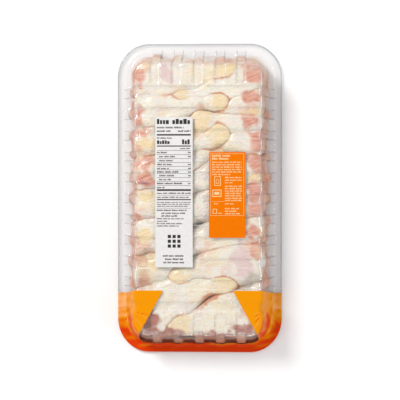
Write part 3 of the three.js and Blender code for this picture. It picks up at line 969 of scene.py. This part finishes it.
class PACK_OT_films(bpy.types.Operator):
    """Builds the shrunk film over the tray, clear and printed"""

    bl_idname = "pack.films"
    bl_label = "Shrunk film"

    PINCH_X = 80 * MM
    PINCH_Y = -131 * MM
    SOFT = 2.2 * MM
    FILLET = 6 * MM
    DIP = 0.35 * MM
    BRIDGING = 0.6
    SLACK = 0.12 * MM
    FOLD = 0.4 * MM

    def surface(self, shape, sizes):
        """The film's points: over the tray and its ribs, straight over the channels"""
        flat_x, flat_y = shape.grid(wall_step=0.9 * MM, coarse=1.8 * MM, edge=self.SOFT)
        x, y, offset = shape.turn_corners(flat_x, flat_y)
        rib, channel = shape.ribs_at(flat_x, flat_y, self.SOFT)
        z = shape.height(offset, rib, channel, -sizes.film_lift, self.FILLET, self.DIP,
                         self.BRIDGING)
        points = np.stack([x, y, z], axis=-1)
        dx = np.gradient(points, axis=0)
        dy = np.gradient(points, axis=1)
        normal = np.cross(dx, dy)
        normal /= np.linalg.norm(normal, axis=-1, keepdims=True)
        fold = self.wrinkles(points, offset)
        points += normal * fold[..., None]
        return points

    def gathers(self, points):
        """The folds that fan out from the two pinched places, and the ridges between them"""
        ripple = Waves(31, 30 * MM)(points)
        folds, ridges = 0, 0
        for side in (-1, 1):
            dx = (points[..., 0] - side * self.PINCH_X) * side
            dy = points[..., 1] - self.PINCH_Y
            far = np.hypot(dx, dy)
            turn = np.arctan2(dy, -dx)
            comb = np.sin(14 * turn + ripple + side) + 0.8 * np.sin(23 * turn - 1.3 * ripple)
            reach = smoothstep(0, 5 * MM, far) * (1 - smoothstep(10 * MM, 42 * MM, far))
            reach = reach * (1 - smoothstep(-0.35, 0.1, turn))
            folds = folds + smoothstep(0.8, 1.6, comb) * reach
            ridges = ridges + smoothstep(0.8, 1.6, -comb) * reach
        return folds, ridges

    def wrinkles(self, points, offset):
        """How far the film stands out of its smooth shape"""
        folds, ridges = self.gathers(points)
        total = self.SLACK * Waves(32, 22 * MM)(points) + self.FOLD * (ridges - folds)
        return np.where(offset > 21 * MM, 0, total)

    def execute(self, context):
        sizes = context.scene.pack_sizes
        shape = TrayShape(sizes)
        points = self.surface(shape, sizes)
        rows, columns = points.shape[:2]
        edge = rim_of(rows, columns)
        flat = points.reshape(-1, 3)
        hem = flat[edge].copy()
        grow_x = FILM_HIGH.x / FLANGE_HALF_WIDTH
        grow_y = LID_HIGH.y / FLANGE_HALF_LENGTH
        hem *= (grow_x, grow_y, 1)
        hem_low = hem.copy()
        hem_low[:, 2] = LID_HIGH.z + 0.2 * MM
        count = len(flat)
        first = count + np.arange(len(edge))
        second = first + len(edge)
        quads = [grid_faces(rows, columns), band(edge, first), band(first, second)]
        quads = np.concatenate(quads)
        triangles = np.concatenate([quads[:, [0, 1, 2]], quads[:, [0, 2, 3]]])
        everything = np.concatenate([flat, hem, hem_low])
        field = PrintOutline().field(*everything.T)
        cut, printed, bare = split_by_field(everything, triangles, field)
        clear = clear_material("clear_shrunk_film", 0.004, 0.05, 0.006)
        orange = orange_film_material(context.scene.pack_colours)
        for name, faces, material, slot, node in (
            ("shrunk_film_clear", bare, clear, "clear_film", "clear_film"),
            ("shrunk_film_printed", printed, orange, "orange_film", "printed_film"),
        ):
            kept, faces = used_only(cut, faces)
            piece = new_piece(name, kept, faces, material, [node])
            add_attribute(piece.data, "tone", self.tone(kept, shape))
            offset = shape.offset_at(kept[:, 0], kept[:, 1])
            # Painted shade: a grey outline along the flange's outer edge
            edge = sizes.flange_offset
            add_attribute(piece.data, "painted_edge_shade", smoothstep(edge - 0.5 * MM, edge, offset))
            add_attribute(piece.data, "taut", self.taut(kept, offset))
            thicken(piece, sizes.film)
        return {"FINISHED"}

    def taut(self, points, offset):
        """Where the film is stretched over the tray's rounded edge, and so shines more"""
        over_edge = smoothstep(-6 * MM, -4 * MM, offset) * (1 - smoothstep(-1 * MM, 1 * MM, offset))
        return over_edge * np.clip(0.75 + 0.5 * Waves(36, 30 * MM)(points), 0, 1)

    def tone(self, points, shape):
        """From pale, over the flange, to deep, where the film is folded double; deeper on the right
        flange as painted shade, darker in folds as painted shade, paler on ridges and in a glint as
        painted highlights
        """
        x, y = points[:, 0], points[:, 1]
        offset = shape.offset_at(x, y)
        down = 1 - smoothstep(-160 * MM, -133 * MM, y)
        below_pinch = 1 - smoothstep(-145 * MM, -127 * MM, y)
        lowest = 1 - smoothstep(-182 * MM, -170 * MM, y)
        # Painted shade: the right flange deepens in tone
        painted_right_shade = smoothstep(80 * MM, 96 * MM, x)
        flange = smoothstep(12 * MM, 15 * MM, offset)
        wall = smoothstep(-2 * MM, 4 * MM, offset)
        streak = Waves(33, 15 * MM)(points * (1, 2.2, 1))
        broad = Waves(34, 45 * MM)(points)
        tone = 0.42 + flange * (-0.42 + 0.85 * down + 0.2 * painted_right_shade)
        tone += wall * (1 - flange) * 0.4 * below_pinch + 0.3 * lowest
        tone += (0.12 * streak + 0.08 * broad * down) * wall
        folds, ridges = self.gathers(points)
        # Painted shade in the folds and painted highlights on the ridges between them
        tone += 0.5 * folds - 0.15 * ridges
        corner = smoothstep(-170 * MM, -160 * MM, y) * (1 - smoothstep(-144 * MM, -134 * MM, y))
        doubled = np.exp(-((offset - 8 * MM) / (1.8 * MM)) ** 2)
        # Painted highlight: a pale glint along the corner's wall foot
        glint = np.exp(-((offset - 12.5 * MM) / (1.5 * MM)) ** 2)
        tone += corner * (0.35 * doubled - (0.6 + 0.3 * streak) * glint)
        return np.clip(tone, 0, 1)


class PACK_OT_lid(bpy.types.Operator):
    """Builds the flat film that closes the tray below"""

    bl_idname = "pack.lid"
    bl_label = "Lid film"

    SLACK = 0.12 * MM

    def execute(self, context):
        sizes = context.scene.pack_sizes
        shape = TrayShape(sizes)
        flat_x, flat_y = shape.grid(wall_step=2.5 * MM, coarse=5 * MM, edge=1 * MM)
        x, y, offset = shape.turn_corners(flat_x, flat_y)
        x = x * LID_HIGH.x / FLANGE_HALF_WIDTH
        y = y * LID_HIGH.y / FLANGE_HALF_LENGTH
        plan = np.stack([x, y, 0 * x], axis=-1)
        slack = (1 + Waves(41, 40 * MM)(plan)) * (1 - smoothstep(6 * MM, 18 * MM, offset))
        points = np.stack([x, y, self.SLACK * np.maximum(slack, 0)], axis=-1)
        rows, columns = x.shape
        material = clear_material("clear_lid_film", 0.008, 0.05, 0.05)
        faces = grid_faces(rows, columns)
        piece = new_piece("lid_sheet", points.reshape(-1, 3), faces, material,
                          ["lid_film"])
        thicken(piece, sizes.film)
        return {"FINISHED"}


def rounded_plate(name, low, high, radius, material, node):
    """A thin plate with rounded corners and a soft top edge"""
    outline = []
    for corner in range(4):
        cx = (high.x - radius) if corner in (0, 3) else (low.x + radius)
        cy = (high.y - radius) if corner < 2 else (low.y + radius)
        for step in range(CORNER_STEPS + 1):
            angle = math.pi / 2 * (corner + step / CORNER_STEPS)
            outline.append((cx + radius * math.cos(angle), cy + radius * math.sin(angle)))
    built = bmesh.new()
    ring = [built.verts.new((x, y, low.z)) for x, y in outline]
    base = built.faces.new(ring)
    grown = bmesh.ops.extrude_face_region(built, geom=[base])
    top = [v for v in grown["geom"] if isinstance(v, bmesh.types.BMVert)]
    bmesh.ops.translate(built, verts=top, vec=(0, 0, high.z - low.z))
    bmesh.ops.recalc_face_normals(built, faces=built.faces)
    mesh = bpy.data.meshes.new(name)
    built.to_mesh(mesh)
    built.free()
    piece = placed(name, mesh, material, [node])
    soften = piece.modifiers.new("Soft edge", "BEVEL")
    soften.width = 0.08 * MM
    soften.segments = 2
    return piece


class Print:
    """Plain blocks of print on a panel, placed in mm from the panel's upper left corner"""

    THICK = 0.04 * MM
    ABOVE = 0.005 * MM
    STRETCH = 1.12
    LEAST = 0.288
    TALL_SHARE = 0.35
    SHORT = 0.76
    SPACE = 0.2
    GROUP_SPACE = 0.55
    BOX_FACES = (
        (0, 2, 3, 1), (4, 5, 7, 6), (0, 1, 5, 4), (1, 3, 7, 5), (3, 2, 6, 7), (2, 0, 4, 6)
    )

    def __init__(self, node, seed):
        self.low, self.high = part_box(node)
        self.rng = np.random.default_rng(seed)
        self.boxes = []

    def bar(self, left, right, middle, height):
        """A straight rule"""
        self.boxes.append((left, right, middle - height / 2, middle + height / 2))

    def words(self, left, right, middle, height, weight=1.0):
        """A line of short upright blocks in groups, as thick as the weight says"""
        height = height * self.STRETCH
        x = left
        until_gap = self.rng.integers(3, 8)
        while x < right - self.LEAST * height:
            width = height * self.rng.uniform(0.3, 0.56) * min(weight, 1.2)
            tall = height * (1.0 if self.rng.random() < self.TALL_SHARE else self.SHORT)
            self.boxes.append((x, min(x + width, right), middle + height / 2 - tall,
                               middle + height / 2))
            x += width + self.SPACE * height / weight
            until_gap -= 1
            if until_gap <= 0:
                x += height * self.GROUP_SPACE
                until_gap = self.rng.integers(3, 9)

    def frame(self, left, right, top, bottom, line):
        """Four rules round a rectangle"""
        self.boxes += [
            (left, right, top, top + line),
            (left, right, bottom - line, bottom),
            (left, left + line, top + line, bottom - line),
            (right - line, right, top + line, bottom - line),
        ]

    def build(self, name, material):
        """One piece of all the blocks, just above the panel"""
        points, faces = [], []
        for left, right, top, bottom in self.boxes:
            start = len(points)
            xs = (self.low.x + left * MM, self.low.x + right * MM)
            ys = (self.high.y - bottom * MM, self.high.y - top * MM)
            zs = (self.high.z + self.ABOVE, self.high.z + self.ABOVE + self.THICK)
            points += [(x, y, z) for z in zs for y in ys for x in xs]
            faces += [[start + v for v in quad] for quad in self.BOX_FACES]
        return new_piece(name, points, faces, material, [], smooth=False)


class PACK_OT_white_panel(bpy.types.Operator):
    """Builds the white panel with its rules and plain blocks of print"""

    bl_idname = "pack.white_panel"
    bl_label = "White panel"

    LEFT = 2.0
    RIGHT = 41.8
    RULES = (38.8, 43.6, 48.3, 52.9, 57.6, 61.6, 65.9, 70.5, 75.1, 79.9)
    ROW_ENDS = (12, 19, 16, 17, 14, 25, 18, 15, 30, 9)

    def execute(self, context):
        colours = context.scene.pack_colours
        low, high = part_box("white_panel")
        ground = print_material("white_print_ground", colours.white_panel)
        rounded_plate("white_panel_sheet", low, high, CORNER_RADIUS, ground,
                      "white_panel")
        text = Print("white_panel", 51)
        left, right = self.LEFT, self.RIGHT
        text.words(left, right, 5.0, 5.4, 1.5)
        text.words(left, 34, 12.0, 1.9)
        text.words(left, 18, 16.1, 1.8, 1.4)
        text.words(26.5, right, 16.1, 1.8, 1.4)
        text.bar(left, right, 20.6, 1.8)
        text.words(left, 20, 24.3, 1.4, 1.3)
        text.words(left, 18.5, 29.2, 3.8, 1.4)
        text.words(31.4, right, 28.8, 5.0, 1.7)
        text.bar(left, right, 33.7, 1.3)
        text.words(29, right, 36.5, 1.3, 1.3)
        for i, rule in enumerate(self.RULES):
            text.bar(left, right, rule, 0.4)
            indent = 2.4 if i in (1, 2, 6, 7) else 0
            text.words(left + indent, left + indent + self.ROW_ENDS[i], rule + 2.3, 1.7, 1.2)
            if i not in (2, 7, 9):
                text.words(right - 3.4, right, rule + 2.3, 1.6, 1.3)
        text.bar(left, right, 85.2, 2.1)
        text.words(left, right, 88.9, 1.6)
        text.bar(left, right, 91.4, 0.3)
        text.words(left, right - 2, 93.6, 1.6)
        text.bar(left, right, 96.4, 1.2)
        for middle, end in ((99.6, right), (101.9, right - 1), (104.2, right - 3)):
            text.words(left, end, middle, 1.2)
        text.bar(left, right, 106.6, 0.3)
        text.words(left, 37, 108.8, 1.5, 1.3)
        text.words(7, 35, 112.3, 1.5, 1.2)
        text.words(7, 26, 115.5, 1.5, 1.2)
        for middle, end in ((118.7, 33), (121.7, 15), (124.4, 32), (127.2, 28)):
            text.words(left, end, middle, 1.4)
        for row in range(3):
            for column in range(3):
                text.bar(14.6 + 5.6 * column, 18.4 + 5.6 * column, 139.6 + 5.6 * row, 3.8)
        for middle, half in ((162.2, 13), (166.1, 10.5), (170.0, 12.5)):
            text.words(21.9 - half, 21.9 + half, middle, 1.9, 1.3)
        ink = print_material("dark_print_ink", colours.ink, 0.5)
        text.build("white_panel_print", ink)
        return {"FINISHED"}


class PACK_OT_orange_panel(bpy.types.Operator):
    """Builds the orange panel with its frame and plain blocks of print"""

    bl_idname = "pack.orange_panel"
    bl_label = "Orange panel"

    def execute(self, context):
        colours = context.scene.pack_colours
        low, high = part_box("orange_panel")
        ground = print_material("orange_print_ground", colours.orange_panel)
        rounded_plate("orange_panel_sheet", low, high, CORNER_RADIUS, ground,
                      "orange_panel")
        text = Print("orange_panel", 52)
        text.frame(1.8, 40.8, 1.8, 74.4, 0.35)
        text.words(3.6, 25.7, 4.2, 2.2, 1.5)
        text.words(3.6, 23.0, 7.7, 2.2, 1.5)
        for middle in (11.8, 14.7, 17.5, 20.4, 23.2):
            text.words(3.6, 38.6, middle, 1.5)
        text.words(3.6, 25, 26.2, 1.5)
        text.frame(6.2, 13.8, 28.4, 39.4, 0.7)
        text.frame(8.2, 11.8, 32.0, 37.0, 0.5)
        text.frame(4.0, 14.6, 44.0, 52.4, 0.9)
        text.bar(6.4, 12.2, 48.2, 3.2)
        text.frame(4.4, 9.4, 66.4, 72.2, 0.7)
        text.bar(11.0, 15.0, 71.6, 0.9)
        for middle in (29.7, 32.8, 35.7, 39.8, 42.7, 45.5, 48.3, 51.0, 54.0, 56.6):
            text.words(18.7, 38.6 if middle != 35.7 else 28, middle, 1.5)
        text.bar(3.6, 18, 57.8, 0.3)
        text.words(6, 11, 60.4, 1.4)
        text.words(18.7, 29, 60.4, 1.4)
        for middle, end in ((66.1, 35), (69.1, 33), (72.0, 36)):
            text.words(18.7, end, middle, 1.5)
        pale = print_material("pale_print_ink", colours.pale_ink, 0.5)
        text.build("orange_panel_print", pale)
        return {"FINISHED"}


def upright(back):
    """Turns something that looks down -Z to look away from back, its top towards +Y"""
    up = Vector((0, 1, 0)) if abs(back.y) < 0.7 else Vector((0, 0, 1))
    across = up.cross(back).normalized()
    return Matrix((across, back.cross(across), back)).transposed()


class PACK_OT_stage(bpy.types.Operator):
    """Builds the floor, the light and the camera"""

    bl_idname = "pack.stage"
    bl_label = "Stage"

    CAMERA = Vector((53.3, 21.6, 1407)) * MM
    TARGET = Vector((0.3, -2.1, 3)) * MM
    FOCAL = 103.6
    FLOOR_HALF = 3.0
    FLOOR_LEVEL = -0.3 * MM
    WORLD = 0.66

    def light(self, name, place, size, watts):
        """A rectangular soft light that faces the pack"""
        lamp = bpy.data.lights.new(name, "AREA")
        lamp.shape = "RECTANGLE"
        lamp.size, lamp.size_y = size
        lamp.energy = watts
        holder = bpy.data.objects.new(name, lamp)
        back = Vector(place).normalized()
        holder.matrix_world = Matrix.Translation(place) @ upright(back).to_4x4()
        bpy.context.scene.collection.objects.link(holder)

    def execute(self, context):
        scene = context.scene
        mesh = bpy.data.meshes.new("floor")
        half = self.FLOOR_HALF
        corners = [(-half, -half), (half, -half), (half, half), (-half, half)]
        mesh.from_pydata([(x, y, self.FLOOR_LEVEL) for x, y in corners], [], [(0, 1, 2, 3)])
        s = Shader("pale_floor")
        paper = s.mix(s.noise(4.0, 2.0), (0.81, 0.81, 0.81, 1), (0.82, 0.82, 0.82, 1))
        coat = s.node("BsdfPrincipled", {"Base Color": paper, "Roughness": 0.9})
        mesh.materials.append(s.finish(coat))
        floor = bpy.data.objects.new("floor", mesh)
        scene.collection.objects.link(floor)
        self.light("key_softbox", (-0.93, 1.0, 1.5), (0.55, 0.55), 28)
        self.light("left_strip", (-1.4, 0.1, 1.35), (0.25, 1.8), 3.8)
        self.light("right_strip", (1.5, 0, 1.05), (0.15, 1.8), 9)
        self.light("foot_strip", (0, -1.9, 0.47), (1.4, 0.3), 7)
        world = bpy.data.worlds.new("studio")
        scene.world = world
        world.use_nodes = True
        backdrop = world.node_tree.nodes["Background"]
        backdrop.inputs["Color"].default_value = (1, 1, 1, 1)
        backdrop.inputs["Strength"].default_value = self.WORLD
        lens = bpy.data.cameras.new("camera")
        lens.sensor_width = 36
        lens.lens = self.FOCAL
        lens.clip_end = 20
        camera = bpy.data.objects.new("camera", lens)
        back = (self.CAMERA - self.TARGET).normalized()
        camera.matrix_world = Matrix.Translation(self.CAMERA) @ upright(back).to_4x4()
        scene.collection.objects.link(camera)
        scene.camera = camera
        scene.view_settings.view_transform = "Standard"
        scene.cycles.transparent_max_bounces = 40
        return {"FINISHED"}


class PACK_PT_panel(bpy.types.Panel):
    """Lists the pieces of the pack"""

    bl_idname = "PACK_PT_panel"
    bl_label = "Tray Pack"
    bl_space_type = "VIEW_3D"
    bl_region_type = "UI"
    bl_category = "Tray Pack"

    def draw(self, context):
        for operator in OPERATORS:
            self.layout.operator(operator.bl_idname)


OPERATORS = (
    PACK_OT_drumsticks,
    PACK_OT_tray,
    PACK_OT_films,
    PACK_OT_lid,
    PACK_OT_white_panel,
    PACK_OT_orange_panel,
    PACK_OT_stage,
)
CLASSES = (PackSizes, PackColours, *OPERATORS, PACK_PT_panel)


def register():
    for one in CLASSES:
        bpy.utils.register_class(one)
    bpy.types.Scene.pack_sizes = PointerProperty(type=PackSizes)
    bpy.types.Scene.pack_colours = PointerProperty(type=PackColours)


def unregister():
    del bpy.types.Scene.pack_colours
    del bpy.types.Scene.pack_sizes
    for one in reversed(CLASSES):
        bpy.utils.unregister_class(one)


def main():
    """Builds the whole pack and its stage"""
    register()
    bpy.ops.pack.drumsticks()
    bpy.ops.pack.tray()
    bpy.ops.pack.films()
    bpy.ops.pack.lid()
    bpy.ops.pack.white_panel()
    bpy.ops.pack.orange_panel()
    bpy.ops.pack.stage()


if __name__ == "__main__":
    main()
